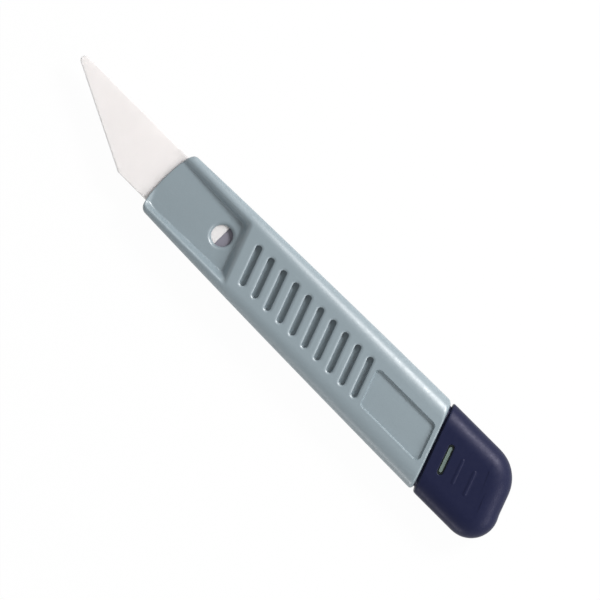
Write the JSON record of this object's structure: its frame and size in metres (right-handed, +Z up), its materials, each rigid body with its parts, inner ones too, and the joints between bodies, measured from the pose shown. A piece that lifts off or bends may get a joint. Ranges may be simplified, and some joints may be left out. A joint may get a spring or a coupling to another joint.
{
  "type": "ceramic trimming knife",
  "caption": "Hand knife with a flat white ceramic blade, a tapered grey moulded handle with a finger recess and slanted grip grooves, and a navy push-fit end cap.",
  "frame": {"origin": "middle of the knife's length and width, on the plane it lies on", "axes": "+X along the knife to the blade's tip, +Y to the heel of the cutting edge, +Z up out of the face with the window"},
  "size_m": [0.1644, 0.0242, 0.0112],
  "materials": {
    "handle_plastic": "cool grey moulded plastic, fine satin grain",
    "block_plastic": "darker purple-grey moulded plastic",
    "spring_steel": "rolled spring steel",
    "rivet_steel": "plain steel",
    "blade_ceramic": "matte ground white ceramic",
    "cap_plastic": "navy moulded plastic, fine satin grain",
    "tray_plastic": "grey moulded plastic"
  },
  "bodies": {
    "handle": {"handle_sleeve": "handle_plastic", "blade_block": "block_plastic", "clamp_spring": "spring_steel", "spring_rivets": "rivet_steel"},
    "blade": {"ceramic_blade": "blade_ceramic"},
    "cap": {"end_cap": "cap_plastic", "spare_tray": "tray_plastic", "spare_blade": "blade_ceramic"},
    "latch": {"latch_tongue": "handle_plastic"}
  },
  "joints": [
    {"name": "blade_slide", "type": "slide", "parent": "handle", "child": "blade", "axis": [1, 0, 0], "range_m": [0, 0.0245]},
    {"name": "cap_slide", "type": "slide", "parent": "handle", "child": "cap", "axis": [-1, 0, 0], "range_m": [0, 0.08], "deforming": ["latch_tongue"]},
    {"name": "latch_flex", "type": "hinge", "parent": "handle", "child": "latch", "pos_m": [-0.05655, 0, 0.0082], "axis": [0.342, -0.9397, 0], "range_deg": [0, 16], "stiffness_Nm_per_rad": 0.07}
  ]
}
